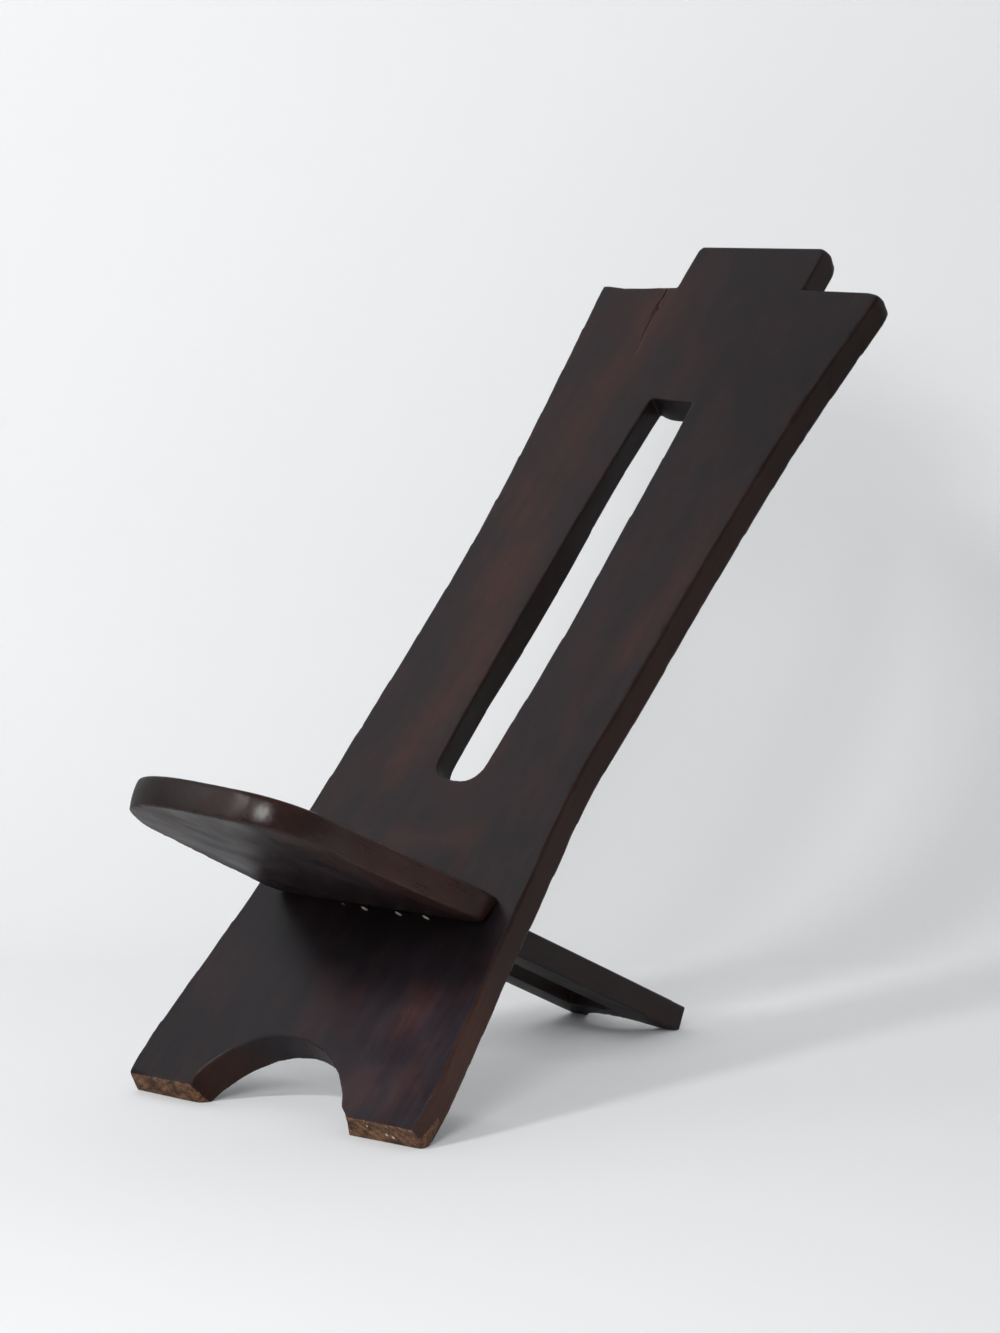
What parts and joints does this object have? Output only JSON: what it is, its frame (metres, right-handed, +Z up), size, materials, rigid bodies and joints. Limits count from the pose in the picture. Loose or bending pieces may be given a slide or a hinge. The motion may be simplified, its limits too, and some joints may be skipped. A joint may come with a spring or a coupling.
{
  "type": "two-plank slotted chair",
  "caption": "Low reclining wooden chair of two planks: a waisted back leaning on an arched foot, and a seat whose long tail slides through the back to the floor.",
  "frame": {"origin": "on the floor, midway across the chair and midway between the front of the seat and the top of the back", "axes": "+Z up, +Y from the seat's front to the rear, +X across to the side on a sitter's left hand"},
  "size_m": [0.302, 0.7874, 0.6711],
  "materials": {
    "stained_hardwood_back": "dark brown stained hardwood, satin, worn edges, raw end grain under the feet",
    "stained_hardwood_seat": "dark brown stained hardwood, satin, rubbed rim"
  },
  "bodies": {
    "back_plank": {"back_plank": "stained_hardwood_back"},
    "seat_plank": {"seat_plank": "stained_hardwood_seat"}
  },
  "joints": [
    {"name": "seat_slide", "type": "slide", "parent": "back_plank", "child": "seat_plank", "axis": [0, -0.9078, 0.4195], "range_m": [0, 0.375]}
  ]
}
